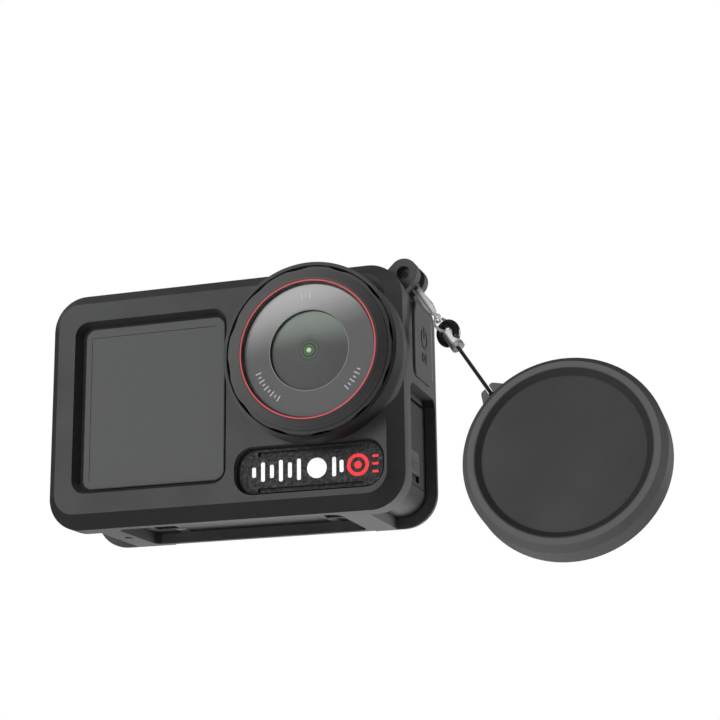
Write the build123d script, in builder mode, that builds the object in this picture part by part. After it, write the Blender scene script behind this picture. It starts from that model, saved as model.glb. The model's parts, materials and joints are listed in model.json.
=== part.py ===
"""Action camera in a silicone sleeve, with a lens cap on a short lanyard.

Millimetres. +Z up, the lens looks along -Y, +X is the viewer's right.
Origin: centre of the quick-release seat on the camera's underside.
"""
import os
from math import cos, radians, sin

from build123d import *

os.makedirs("parts", exist_ok=True)

# ---------------------------------------------------------------- driving dimensions
# camera body
CAM_X = 35.2  # half width
CAM_TOP = 44.2
CAM_FRONT = -12.0
CAM_SPLIT = -7.0  # front and rear housings meet here
CAM_BACK = 12.4
CAM_R = 4.7  # corner radius, seen from the front
SIDE_WALL = 2.6
CAP_WALL = 1.6  # top and bottom walls
FACE_WALL = 1.5  # front and rear walls

# sleeve
SLV_X = 37.5
SLV_LOW, SLV_TOP = -2.25, 46.6
SLV_FRONT, SLV_BACK = -14.0, 14.66
SLV_R = 7.0
BEVEL_IN, BEVEL_DEEP = 2.68, 3.34  # front bevel, inwards and backwards
SLIP = 0.05  # gap between the sleeve and the camera

# windows cut through the sleeve: x0, x1, z0, z1
SCREEN_WIN = (-31.1, 2.07, 4.45, 40.03)
SCREEN_WIN_IN = (-30.1, 1.6, 5.0, 39.3)
BADGE_WIN = (3.8, 34.3, 1.65, 11.15)
REAR_WIN = (-31.2, 31.2, 2.0, 42.2)
SIDE_Y = (-6.25, 11.6)  # both side openings
RIGHT_TOP, LEFT_TOP = 23.65, 37.9
WRAP_R, WRAP_L = 29.0, -28.0  # the side openings run round onto the underside to here
BASE_WIN = (-23.35, 23.35, -8.6, 10.5)

# lens group, on one axis
LENS_X, LENS_Z = 21.14, 28.03
COLLAR_R, COLLAR_BORE, COLLAR_TIP = 17.6, 16.95, -19.3
GUARD_R, GUARD_BORE, GUARD_TIP = 16.8, 15.3, -20.4
GLASS_R, RED_R = 13.5, 13.8
FLUTE_R, FLUTE_DEEP = 14.0, 0.4  # long shallow finger flutes round the guard

# keys
POWER_PAD = (-4.0, 8.5, 25.55, 40.75)  # y0, y1, z0, z1
POWER_KEY = (-1.5, 6.0, 28.5, 38.0)
PAD_RISE = 0.6
KEY_GAP = 0.12
RECORD_X, RECORD_Y = -16.0, 0.0
RECORD_PAD = (16.0, 12.0)

# side doors: y0, y1, z0, z1
USB_COVER = (-4.8, 10.0, 4.9, 22.2)
BATT_DOOR = (-4.8, 10.0, 4.2, 36.4)
DOOR_T = 1.6
DOOR_GAP = 0.12
PIN_R, PIN_BORE = 0.4, 0.45

# lug on the sleeve's top right corner
LUG_X, LUG_Y, LUG_Z = 36.6, -2.6, 45.7
EAR_R, EAR_HOLE, EAR_T, EAR_GAP = 2.9, 1.35, 2.5, 3.0
LUG_PIN_R = 0.65
CLASP_INNER = radians(26)  # innermost swing of the clasp, from straight down

# lens cap: centre of the lip plane, and where its face looks
CAP_C = Vector(68.07, -12.09, 6.01)
CAP_AZ, CAP_EL = -1.7, 10.9
CAP_R, CAP_BORE = 19.5, 17.7
CAP_DEEP, CAP_FLOOR = 6.2, 2.4
TAB_ANGLE, TAB_PIN_AT, TAB_TIP = 135.5, 20.6, 21.5

# ---------------------------------------------------------------- helpers


def front(y):
    """Plane facing the viewer at depth y: local x is +X, local y is +Z, its normal is -Y."""
    return Plane(origin=(0, y, 0), x_dir=(1, 0, 0), z_dir=(0, -1, 0))


def right(x):
    """Plane facing +X: local x is +Y, local y is +Z."""
    return Plane(origin=(x, 0, 0), x_dir=(0, 1, 0), z_dir=(1, 0, 0))


def level(z):
    return Plane.XY.offset(z)


def mid(a, b):
    return (a + b) / 2


def rect(box, r):
    """Rounded rectangle in the current sketch from (a0, a1, b0, b1)."""
    a0, a1, b0, b1 = box
    with Locations((mid(a0, a1), mid(b0, b1))):
        RectangleRounded(a1 - a0, b1 - b0, r)


def brick(x0, x1, y0, y1, z0, z1, mode=Mode.ADD):
    """Plain block between two corners."""
    with Locations((mid(x0, x1), mid(y0, y1), mid(z0, z1))):
        Box(x1 - x0, y1 - y0, z1 - z0, mode=mode)


def lens_disc(r_out, y_front, y_back, mode=Mode.ADD):
    """Disc on the lens axis between two depths."""
    with BuildSketch(front(y_back)) as disc:
        with Locations((LENS_X, LENS_Z)):
            Circle(r_out)
    extrude(disc.sketch, amount=y_back - y_front, mode=mode)


def lens_turn(points):
    """Solid of revolution about the lens axis from (radius, y) points."""
    plane = Plane(origin=(LENS_X, 0, LENS_Z), x_dir=(1, 0, 0), z_dir=(0, 0, 1))
    with BuildSketch(plane) as profile:
        with BuildLine():
            Polyline(*points, close=True)
        make_face()
    revolve(profile.sketch, axis=Axis((LENS_X, 0, LENS_Z), (0, 1, 0)))


def keep(build, name):
    build.part.label = name
    export_step(build.part, f"parts/{name}.step")


CAM_RECT = (-CAM_X, CAM_X, 0, CAM_TOP)
INNER_RECT = (-CAM_X + SIDE_WALL, CAM_X - SIDE_WALL, CAP_WALL, CAM_TOP - CAP_WALL)

# ---------------------------------------------------------------- sleeve
with BuildPart() as silicone_sleeve:
    bevel_y = SLV_FRONT + BEVEL_DEEP
    with BuildSketch(front(SLV_BACK)):
        rect((-SLV_X, SLV_X, SLV_LOW, SLV_TOP), SLV_R)
    extrude(amount=SLV_BACK - bevel_y)
    fillet(silicone_sleeve.faces().sort_by(Axis.Y)[-1].edges(), 2.4)
    with BuildSketch(front(bevel_y)):
        rect((-SLV_X, SLV_X, SLV_LOW, SLV_TOP), SLV_R)
    with BuildSketch(front(SLV_FRONT)):
        rect(
            (-SLV_X + BEVEL_IN, SLV_X - BEVEL_IN, SLV_LOW + BEVEL_IN, SLV_TOP - BEVEL_IN),
            SLV_R - BEVEL_IN,
        )
    loft(ruled=True)
    # collar round the lens guard
    lens_disc(COLLAR_R, COLLAR_TIP, SLV_FRONT + 2)
    # room for the camera
    with BuildSketch(front(CAM_BACK + SLIP)):
        rect(
            (-CAM_X - SLIP, CAM_X + SLIP, -SLIP, CAM_TOP + SLIP),
            CAM_R + SLIP,
        )
    extrude(amount=CAM_BACK - CAM_FRONT + 2 * SLIP, mode=Mode.SUBTRACT)
    lens_disc(COLLAR_BORE, COLLAR_TIP - 1, CAM_FRONT, mode=Mode.SUBTRACT)
    # front screen window, its sides sloping in towards the glass
    with BuildSketch(front(CAM_FRONT)):
        rect(SCREEN_WIN_IN, 2.2)
    with BuildSketch(front(SLV_FRONT)):
        rect(SCREEN_WIN, 3.0)
    loft(ruled=True, mode=Mode.SUBTRACT)
    with BuildSketch(front(CAM_FRONT + 0.5)):
        rect(SCREEN_WIN_IN, 2.2)
    extrude(amount=0.6, mode=Mode.SUBTRACT)
    with BuildSketch(front(CAM_FRONT + 0.5)):
        rect(BADGE_WIN, 3.9)
    extrude(amount=3.5, mode=Mode.SUBTRACT)
    with BuildSketch(front(SLV_BACK + 1)):
        rect(REAR_WIN, 3.5)
    extrude(amount=4, mode=Mode.SUBTRACT)
    # side openings, each wrapping round the bottom edge
    with BuildSketch(right(WRAP_R)):
        rect((SIDE_Y[0], SIDE_Y[1], -12, RIGHT_TOP), 2.2)
    extrude(amount=15, mode=Mode.SUBTRACT)
    with BuildSketch(right(WRAP_L)):
        rect((SIDE_Y[0], SIDE_Y[1], -12, LEFT_TOP), 2.2)
    extrude(amount=-15, mode=Mode.SUBTRACT)
    with BuildSketch(level(-4)):
        rect(BASE_WIN, 2.0)
        with Locations((-25.2, 0.8)):
            Circle(0.9)
    extrude(amount=5, mode=Mode.SUBTRACT)
    # shallow notch in the rear rim, under the camera
    with BuildSketch(front(SLV_BACK + 1)):
        rect((-20, 24.3, -5, SLV_LOW + 1.2), 1.1)
    extrude(amount=3.9, mode=Mode.SUBTRACT)
    # key areas
    with BuildSketch(right(SLV_X - 3)):
        rect((POWER_PAD[0] - KEY_GAP, POWER_PAD[1] + KEY_GAP,
              POWER_PAD[2] - KEY_GAP, POWER_PAD[3] + KEY_GAP), 2.0)
    extrude(amount=5, mode=Mode.SUBTRACT)
    with BuildSketch(level(SLV_TOP - 3)):
        with Locations((RECORD_X, RECORD_Y)):
            RectangleRounded(RECORD_PAD[0] + 2 * KEY_GAP, RECORD_PAD[1] + 2 * KEY_GAP, 2.6)
        # microphone and status light holes
        with Locations((0, 0), (7, 0), (14, 0)):
            Circle(0.9)
    extrude(amount=5, mode=Mode.SUBTRACT)
    # two ears of the lug
    for ear_front in (LUG_Y - EAR_GAP / 2 - EAR_T, LUG_Y + EAR_GAP / 2):
        with BuildSketch(front(ear_front + EAR_T)):
            with Locations((LUG_X, LUG_Z)):
                Circle(EAR_R)
            with Locations(Location((LUG_X - 1.06, LUG_Z - 1.06, 0), (0, 0, 45))):
                Rectangle(3.0, 2 * EAR_R)
        extrude(amount=EAR_T)
    # relief for the clasp, down to its innermost swing
    with BuildSketch(front(LUG_Y + EAR_GAP / 2)):
        with Locations((LUG_X, LUG_Z)):
            Circle(1.95)
        with Locations((LUG_X + 5.2 * sin(CLASP_INNER), LUG_Z - 5.2 * cos(CLASP_INNER))):
            Circle(1.5)
        make_hull()
    extrude(amount=EAR_GAP, mode=Mode.SUBTRACT)
    lug_ends = LUG_Y - EAR_GAP / 2 - EAR_T, LUG_Y + EAR_GAP / 2 + EAR_T
    with BuildSketch(front(lug_ends[0] + 1.7), front(lug_ends[1] + 0.1)):
        with Locations((LUG_X, LUG_Z)):
            Circle(EAR_HOLE)
    extrude(amount=1.8, mode=Mode.SUBTRACT)
    with BuildSketch(front(lug_ends[1])):
        with Locations((LUG_X, LUG_Z)):
            Circle(LUG_PIN_R)
    extrude(amount=lug_ends[1] - lug_ends[0], mode=Mode.SUBTRACT)
keep(silicone_sleeve, "silicone_sleeve")

with BuildPart() as power_pad:
    with BuildSketch(right(CAM_X + 0.55)):
        rect(POWER_PAD, 1.9)
    extrude(amount=SLV_X + PAD_RISE - CAM_X - 0.55)
    fillet(power_pad.faces().sort_by(Axis.X)[-1].edges(), 0.45)
keep(power_pad, "power_pad")

with BuildPart() as record_pad:
    with BuildSketch(level(CAM_TOP + 0.55)):
        with Locations((RECORD_X, RECORD_Y)):
            RectangleRounded(*RECORD_PAD, 2.5)
    extrude(amount=SLV_TOP + PAD_RISE - CAM_TOP - 0.55)
    fillet(record_pad.faces().sort_by(Axis.Z)[-1].edges(), 0.45)
keep(record_pad, "record_pad")

# ---------------------------------------------------------------- camera housings
with BuildPart() as front_housing:
    with BuildSketch(front(CAM_SPLIT)):
        rect(CAM_RECT, CAM_R)
    extrude(amount=CAM_SPLIT - CAM_FRONT)
    chamfer(front_housing.faces().sort_by(Axis.Y)[0].edges(), 0.5)
    with BuildSketch(front(CAM_SPLIT)):
        rect(INNER_RECT, 2.2)
    extrude(amount=CAM_SPLIT - CAM_FRONT - FACE_WALL, mode=Mode.SUBTRACT)
    lens_disc(14.0, CAM_FRONT - 1, CAM_SPLIT, mode=Mode.SUBTRACT)
    # seat and window for the front screen
    with BuildSketch(front(CAM_FRONT + 0.5)):
        rect((-29.4, 1.2, 5.4, 38.8), 2.1)
    extrude(amount=1, mode=Mode.SUBTRACT)
    with BuildSketch(front(CAM_FRONT + 2)):
        rect((-28.6, 0.4, 6.2, 38.0), 1.4)
    extrude(amount=2, mode=Mode.SUBTRACT)
    # seat for the badge plate
    with BuildSketch(front(CAM_FRONT + 0.7)):
        rect((4.3, 33.7, 2.1, 10.8), 3.6)
    extrude(amount=1, mode=Mode.SUBTRACT)
keep(front_housing, "front_housing")

with BuildPart() as rear_housing:
    with BuildSketch(front(CAM_BACK)):
        rect(CAM_RECT, CAM_R)
    extrude(amount=CAM_BACK - CAM_SPLIT)
    chamfer(rear_housing.faces().sort_by(Axis.Y)[-1].edges(), 0.5)
    with BuildSketch(front(CAM_BACK - FACE_WALL)):
        rect(INNER_RECT, 2.2)
    extrude(amount=CAM_BACK - FACE_WALL - CAM_SPLIT, mode=Mode.SUBTRACT)
    # seat and window for the rear screen
    with BuildSketch(front(CAM_BACK + 1)):
        rect((-30.1, 30.1, 2.9, 41.3), 2.6)
    extrude(amount=1.8, mode=Mode.SUBTRACT)
    with BuildSketch(front(CAM_BACK)):
        rect((-28.6, 28.6, 4.4, 39.8), 0.4)
    extrude(amount=3, mode=Mode.SUBTRACT)
    # pockets for the two side doors, and the openings behind them
    pockets = (
        (CAM_X - DOOR_T - 0.05, 1, USB_COVER, (-2.2, 7.4, 12.7, 16.5)),
        (-CAM_X + DOOR_T + 0.05, -1, BATT_DOOR, (-3.6, 8.8, 6.4, 35.2)),
    )
    for face_x, side, (y0, y1, z0, z1), hole in pockets:
        with BuildSketch(right(face_x)):
            rect((y0 - DOOR_GAP, y1 + DOOR_GAP, z0 - DOOR_GAP, z1 + DOOR_GAP), 0.3)
        extrude(amount=3 * side, mode=Mode.SUBTRACT)
        with BuildSketch(right(face_x)):
            rect(hole, 1.2)
        extrude(amount=-3 * side, mode=Mode.SUBTRACT)
    # bores that hold the ends of the two door pins
    for pin_x, pin_z in ((CAM_X - 0.8, USB_COVER[3] - 0.8), (-CAM_X + 0.8, BATT_DOOR[2] + 0.8)):
        with BuildSketch(front(USB_COVER[1] + 0.8)):
            with Locations((pin_x, pin_z)):
                Circle(PIN_R)
        extrude(amount=USB_COVER[1] - USB_COVER[0] + 1.6, mode=Mode.SUBTRACT)
    # key holes
    with BuildSketch(right(CAM_X - 3)):
        rect((POWER_KEY[0] - 0.1, POWER_KEY[1] + 0.1, POWER_KEY[2] - 0.1, POWER_KEY[3] + 0.1), 1.6)
    extrude(amount=4, mode=Mode.SUBTRACT)
    with BuildSketch(level(CAM_TOP - 3)):
        with Locations((RECORD_X, RECORD_Y)):
            Circle(5.1)
        with Locations((0, 0), (7, 0)):
            Circle(0.5)
        with Locations((14, 0)):
            Circle(0.75)
    extrude(amount=4, mode=Mode.SUBTRACT)
    # seat for the base plate, and the two clip slots
    brick(-14.7, 14.7, -6.5, 10.6, -1, 1.0, mode=Mode.SUBTRACT)
    for side in (-1, 1):
        brick(side * 18.5 - 2.4, side * 18.5 + 2.4, 2.8, 6.0, -1, 1.0, mode=Mode.SUBTRACT)
        brick(side * 16.5 - 1.1, side * 16.5 + 1.1, 7.0, 11.3, -1, 0.6, mode=Mode.SUBTRACT)
    # screw holes in the rear corners
    with BuildSketch(front(CAM_BACK + 0.1)):
        with Locations(*[(sx * 32.6, sz) for sx in (-1, 1) for sz in (3.9, 40.3)]):
            Circle(1.05)
    extrude(amount=0.9, mode=Mode.SUBTRACT)
    with BuildSketch(front(CAM_BACK)):
        with Locations(*[(sx * 32.6, sz) for sx in (-1, 1) for sz in (3.9, 40.3)]):
            Circle(0.6)
    extrude(amount=5, mode=Mode.SUBTRACT)
keep(rear_housing, "rear_housing")

with BuildPart() as housing_screws:
    for sx in (-1, 1):
        for sz in (3.9, 40.3):
            with BuildSketch(front(CAM_BACK - 0.1)):
                with Locations((sx * 32.6, sz)):
                    Circle(1.0)
                    RegularPolygon(0.5, 6, mode=Mode.SUBTRACT)
            extrude(amount=0.6)
            with BuildSketch(front(CAM_BACK - 0.7)):
                with Locations((sx * 32.6, sz)):
                    Circle(0.6)
            extrude(amount=4)
keep(housing_screws, "housing_screws")

# ---------------------------------------------------------------- screens and plates
with BuildPart() as front_screen_glass:
    with BuildSketch(front(CAM_FRONT + 0.5)):
        rect((-29.3, 1.1, 5.5, 38.7), 2.0)
    extrude(amount=1.0)
    chamfer(front_screen_glass.faces().sort_by(Axis.Y)[0].edges(), 0.15)
keep(front_screen_glass, "front_screen_glass")

with BuildPart() as front_display:
    brick(-27.95, -0.75, CAM_FRONT + 0.55, CAM_FRONT + 1.75, 7.3, 36.85)
keep(front_display, "front_display")

with BuildPart() as rear_screen_glass:
    with BuildSketch(front(CAM_BACK + 0.2)):
        rect((-30, 30, 3.0, 41.2), 2.5)
    extrude(amount=1.0)
    chamfer(rear_screen_glass.faces().sort_by(Axis.Y)[-1].edges(), 0.15)
keep(rear_screen_glass, "rear_screen_glass")

with BuildPart() as rear_display:
    brick(-28.4, 28.4, 10.2, 11.55, 4.6, 39.6)
keep(rear_display, "rear_display")

with BuildPart() as badge_plate:
    with BuildSketch(front(CAM_FRONT + 0.7)):
        rect((4.4, 33.6, 2.2, 10.7), 3.5)
    extrude(amount=1.1)
    # two long slots, above and below the raised middle
    for slot_z in (10.0, 2.85):
        brick(8.2, 29.5, -13, CAM_FRONT + 0.3, slot_z - 0.3, slot_z + 0.3, mode=Mode.SUBTRACT)
        brick(8.2, 8.9, -13, CAM_FRONT + 0.3, slot_z - 0.55, slot_z + 0.3, mode=Mode.SUBTRACT)
keep(badge_plate, "badge_plate")

with BuildPart() as base_plate:
    brick(-14.6, 14.6, -6.4, 10.5, 0, 0.95)
    chamfer(base_plate.edges().filter_by(Axis.Z), 0.8)
keep(base_plate, "base_plate")

with BuildPart() as base_catches:
    for side in (-1, 1):
        brick(side * 16.5 - 1.0, side * 16.5 + 1.0, 7.1, 11.2, 0, 0.55)
keep(base_catches, "base_catches")

with BuildPart() as base_magnets:
    for side in (-1, 1):
        with BuildSketch(level(CAP_WALL + 0.05)):
            with Locations((side * 9.0, 2.0)):
                Circle(3.4)
        extrude(amount=1.1)
keep(base_magnets, "base_magnets")

# ---------------------------------------------------------------- lens group
with BuildPart() as lens_mount_ring:
    lens_turn([(13.4, -10.6), (13.95, -10.6), (13.95, -12.05), (15.2, -12.05), (15.2, -17.6),
               (13.9, -17.6), (13.4, -17.1)])
keep(lens_mount_ring, "lens_mount_ring")

with BuildPart() as lens_guard_ring:
    lens_turn([
        (GUARD_BORE, -12.25), (GUARD_R, -12.25), (GUARD_R, -18.9), (16.6, -19.1), (15.95, -19.25),
        (15.85, -19.4), (14.2, GUARD_TIP), (RED_R + 0.04, GUARD_TIP), (RED_R + 0.04, -19.2),
        (13.1, -19.2), (13.1, -18.7), (14.4, -17.8), (GUARD_BORE, -17.8),
    ])
    # finger flutes round the rim
    with BuildSketch(front(-12)):
        with Locations((LENS_X, LENS_Z)):
            with PolarLocations(GUARD_R + FLUTE_R - FLUTE_DEEP, 12, start_angle=8):
                Circle(FLUTE_R)
    extrude(amount=8, mode=Mode.SUBTRACT)
keep(lens_guard_ring, "lens_guard_ring")

with BuildPart() as accent_ring:
    lens_turn([(GLASS_R + 0.04, -19.25), (RED_R, -19.25), (RED_R, -20.3), (GLASS_R + 0.04, -20.3)])
keep(accent_ring, "accent_ring")

with BuildPart() as lens_guard_glass:
    lens_turn([(0, -19.25), (GLASS_R, -19.25), (GLASS_R, -20.2), (0, -20.2)])
keep(lens_guard_glass, "lens_guard_glass")

with BuildPart() as lens_face_plate:
    lens_turn([(8.35, -17.0), (12.9, -17.0), (12.9, -19.1), (8.0, -19.1), (8.0, -18.9), (8.35, -18.6)])
keep(lens_face_plate, "lens_face_plate")

with BuildPart() as lens_barrel:
    lens_turn([(8.0, -4.4), (9.6, -4.4), (9.6, -12.0), (13.2, -12.0), (13.2, -13.2), (9.6, -13.2),
               (9.6, -16.9), (8.3, -16.9), (8.0, -16.4)])
keep(lens_barrel, "lens_barrel")

DOME_R = 44.9
with BuildPart() as front_element:
    lens_disc(7.9, -19.2, -16.0)
    with Locations((LENS_X, -19.1 + DOME_R, LENS_Z)):
        Sphere(DOME_R, mode=Mode.INTERSECT)
keep(front_element, "front_element")

with BuildPart() as middle_element:
    lens_turn([(0, -9.0), (6.6, -9.0), (7.9, -9.6), (7.9, -11.4), (6.6, -12.0), (0, -12.6)])
keep(middle_element, "middle_element")

with BuildPart() as rear_element:
    lens_turn([(0, -5.0), (7.9, -5.0), (7.9, -6.6), (5.0, -7.4), (0, -7.8)])
keep(rear_element, "rear_element")

with BuildPart() as image_sensor:
    brick(LENS_X - 6.2, LENS_X + 6.2, -3.6, -2.65, LENS_Z - 5.0, LENS_Z + 5.0)
keep(image_sensor, "image_sensor")

with BuildPart() as sensor_board:
    brick(LENS_X - 9, LENS_X + 9, -2.6, -1.6, LENS_Z - 9, LENS_Z + 9)
keep(sensor_board, "sensor_board")

# ---------------------------------------------------------------- inside the camera
with BuildPart() as main_board:
    brick(-31, 31, 8.2, 9.1, 6.0, 41.0)
    with Locations((12, 7.7, 24), (-2, 7.75, 36)):
        Box(9, 1.0, 7)
keep(main_board, "main_board")

with BuildPart() as heat_spreader:
    brick(-28, 30, 9.3, 9.8, 8.0, 39.0)
keep(heat_spreader, "heat_spreader")

with BuildPart() as battery:
    brick(-32.3, 4.5, -5.4, 7.4, 3.1, 31.0)
    fillet(battery.edges().filter_by(Axis.X), 1.2)
keep(battery, "battery")

with BuildPart() as battery_contacts:
    brick(4.75, 6.4, -3.0, 5.0, 9.0, 22.0)
    with Locations(*[(6.9, 1.0, 11.5 + 3.0 * i) for i in range(4)]):
        Box(1.0, 1.2, 1.2)
keep(battery_contacts, "battery_contacts")

with BuildPart() as memory_card:
    brick(-32.2, -17.4, -2.5, 7.4, 33.7, 34.5)
keep(memory_card, "memory_card")

with BuildPart() as card_socket:
    brick(-30.0, -16.2, -3.4, 7.6, 33.0, 35.1)
    brick(-31.0, -17.3, -2.6, 7.5, 33.6, 34.6, mode=Mode.SUBTRACT)
keep(card_socket, "card_socket")

with BuildPart() as usb_socket:
    with BuildSketch(right(25.6)):
        rect((-1.9, 7.1, 13.0, 16.2), 1.55)
    extrude(amount=7.8)
    with BuildSketch(right(27.2)):
        rect((-1.6, 6.8, 13.3, 15.9), 1.25)
    extrude(amount=7, mode=Mode.SUBTRACT)
    brick(27.0, 32.6, -0.8, 6.0, 14.25, 14.95)
keep(usb_socket, "usb_socket")

with BuildPart() as speaker:
    brick(21.0, 31.0, -9.6, -5.6, 2.2, 8.6)
    fillet(speaker.edges().filter_by(Axis.Y), 1.0)
keep(speaker, "speaker")

with BuildPart() as microphones:
    for mx in (0, 7):
        with BuildSketch(level(40.9)):
            with Locations((mx, 0)):
                Circle(1.6)
        extrude(amount=1.6)
keep(microphones, "microphones")

with BuildPart() as status_light:
    with BuildSketch(level(CAM_TOP - 2.2)):
        with Locations((14, 0)):
            Circle(0.7)
    extrude(amount=2.1)
keep(status_light, "status_light")

# ---------------------------------------------------------------- keys
with BuildPart() as power_button:
    with BuildSketch(right(CAM_X - 2.85)):
        rect(POWER_KEY, 1.5)
    extrude(amount=3.35)
keep(power_button, "power_button")

with BuildPart() as power_switch:
    brick(29.6, 31.85, 0.5, 4.0, 31.0, 35.5)
keep(power_switch, "power_switch")

with BuildPart() as record_button:
    with BuildSketch(level(CAM_TOP - 2.3)):
        with Locations((RECORD_X, RECORD_Y)):
            Circle(5.0)
    extrude(amount=2.8)
keep(record_button, "record_button")

with BuildPart() as record_switch:
    brick(RECORD_X - 2.2, RECORD_X + 2.2, -2.2, 2.2, 39.2, 41.4)
keep(record_switch, "record_switch")


# ---------------------------------------------------------------- side doors
def door(cover, outer_x, side, pin_z, latch, latch_pocket):
    """Flap with a rounded knuckle along its hinged edge and a pocket for its sliding latch."""
    y0, y1, z0, z1 = cover
    pin_x = outer_x - side * DOOR_T / 2
    inner_x = outer_x - side * DOOR_T
    top_hinged = pin_z > mid(z0, z1)
    flap_z = (z0, pin_z) if top_hinged else (pin_z, z1)
    with BuildPart() as flap:
        brick(min(inner_x, outer_x), max(inner_x, outer_x), y0, y1, *flap_z)
        free = flap.edges().filter_by(Axis.X).group_by(Axis.Z)[0 if top_hinged else -1]
        fillet(free, 0.6)
        with BuildSketch(front(y1)):
            with Locations((pin_x, pin_z)):
                Circle(DOOR_T / 2)
        extrude(amount=y1 - y0)
        with BuildSketch(front(y1)):
            with Locations((pin_x, pin_z)):
                Circle(PIN_BORE)
        extrude(amount=y1 - y0, mode=Mode.SUBTRACT)
        with BuildSketch(right(outer_x - side * 0.55)):
            rect(latch_pocket, 0.6)
        extrude(amount=side, mode=Mode.SUBTRACT)
    with BuildPart() as slider:
        with BuildSketch(right(outer_x - side * 0.5)):
            rect(latch, 0.55)
        extrude(amount=side * 0.65)
        grips = 3
        a0, a1, b0, b1 = latch
        for i in range(grips):
            z = b0 + 1.1 + i * 0.7
            grip_x = sorted((outer_x + side * 0.1, outer_x + side * 0.3))
            brick(*grip_x, a0 + 1.2, a1 - 1.2, z - 0.12, z + 0.12)
    with BuildPart() as pin:
        with BuildSketch(front(y1 + 0.7)):
            with Locations((pin_x, pin_z)):
                Circle(PIN_R)
        extrude(amount=y1 - y0 + 1.4)
    return flap, slider, pin


usb_cover, usb_latch, usb_hinge_pin = door(
    USB_COVER, CAM_X, 1, USB_COVER[3] - 0.8, (0.0, 6.5, 7.0, 11.7), (-0.1, 6.6, 5.6, 11.8))
battery_door, battery_latch, battery_hinge_pin = door(
    BATT_DOOR, -CAM_X, -1, BATT_DOOR[2] + 0.8, (0.0, 6.5, 29.6, 34.3), (-0.1, 6.6, 28.2, 34.4))
keep(usb_cover, "usb_cover")
keep(usb_latch, "usb_latch")
keep(usb_hinge_pin, "usb_hinge_pin")
keep(battery_door, "battery_door")
keep(battery_latch, "battery_latch")
keep(battery_hinge_pin, "battery_hinge_pin")

with BuildPart() as door_seal:
    with BuildSketch(right(-CAM_X + DOOR_T)):
        rect((-3.4, 8.6, 6.6, 35.0), 1.1)
        rect_in = (-2.7, 7.9, 7.3, 34.3)
        with Locations((mid(rect_in[0], rect_in[1]), mid(rect_in[2], rect_in[3]))):
            RectangleRounded(rect_in[1] - rect_in[0], rect_in[3] - rect_in[2], 0.5, mode=Mode.SUBTRACT)
    extrude(amount=0.6)
keep(door_seal, "door_seal")

# ---------------------------------------------------------------- lens cap
cap_n = Vector(
    sin(radians(CAP_AZ)) * cos(radians(CAP_EL)),
    -cos(radians(CAP_AZ)) * cos(radians(CAP_EL)),
    sin(radians(CAP_EL)),
)
cap_e1 = Vector(0, 0, 1).cross(cap_n) * -1
cap_e1 = (cap_e1 * -1 if cap_e1.X < 0 else cap_e1).normalized()
cap_e2 = cap_n.cross(cap_e1).normalized()
cap_e2 = cap_e2 * -1 if cap_e2.Z < 0 else cap_e2
cap_mid = CAP_C - cap_n * (CAP_DEEP / 2)
tab_dir = cap_e1 * cos(radians(TAB_ANGLE)) + cap_e2 * sin(radians(TAB_ANGLE))
tab_pin_c = cap_mid + tab_dir * TAB_PIN_AT
lug = Vector(LUG_X, LUG_Y, LUG_Z)
pull = lug - tab_pin_c
slot_dir = (pull - cap_n * pull.dot(cap_n)).normalized()
tab_side = cap_n.cross(slot_dir).normalized()

with BuildPart() as lens_cap:
    with BuildSketch(Plane(origin=CAP_C, x_dir=cap_e1, z_dir=cap_e1.cross(cap_n))):
        with BuildLine():
            Polyline(
                (0, -0.75), (15.71, -0.75), (16.70, 0), (18.28, 0), (CAP_R, -1.21), (CAP_R, -CAP_DEEP),
                (CAP_BORE, -CAP_DEEP), (CAP_BORE, -CAP_FLOOR), (0, -CAP_FLOOR), close=True)
        make_face()
    revolve(axis=Axis(CAP_C, cap_n))
    # tab with a slot for the cord
    tab_plane = Plane(origin=cap_mid - cap_n * 1.5, x_dir=tab_dir, z_dir=cap_n)
    with BuildSketch(tab_plane):
        with BuildLine():
            Polyline((18.4, -3.2), (19.3, -2.9), (TAB_TIP - 0.4, -1.75), (TAB_TIP, -1.35), (TAB_TIP, 1.35),
                     (TAB_TIP - 0.4, 1.75), (19.3, 2.9), (18.4, 3.2), close=True)
        make_face()
    extrude(amount=3.0)
    with BuildSketch(Plane(origin=tab_pin_c - cap_n * 2.5, x_dir=slot_dir, z_dir=cap_n)):
        with Locations((0.1, 0)):
            Rectangle(2.4, 1.0)
    extrude(amount=5.0, mode=Mode.SUBTRACT)
    with BuildSketch(Plane(origin=tab_pin_c - tab_side * 3, x_dir=slot_dir, z_dir=tab_side)):
        Circle(0.25)
    extrude(amount=6, mode=Mode.SUBTRACT)
keep(lens_cap, "lens_cap")

with BuildPart() as tab_pin:
    with BuildSketch(Plane(origin=tab_pin_c - tab_side * 1.4, x_dir=slot_dir, z_dir=tab_side)):
        Circle(0.25)
    extrude(amount=2.8)
keep(tab_pin, "tab_pin")

# ---------------------------------------------------------------- lanyard, along one line from lug to tab
line = tab_pin_c - lug
reach = line.length
u = line.normalized()
w = (Vector(0, 1, 0) - u * u.Y).normalized()
v = w.cross(u)


def along(s, a=0.0, b=0.0):
    """Point s along the lanyard, a to the camera's side of it and b behind it."""
    return lug + u * s + v * a + w * b


with BuildPart() as lug_pin:
    with BuildSketch(front(LUG_Y + EAR_GAP / 2 + 0.8)):
        with Locations((LUG_X, LUG_Z)):
            Circle(LUG_PIN_R)
    extrude(amount=EAR_GAP + 1.6)
keep(lug_pin, "lug_pin")

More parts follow.
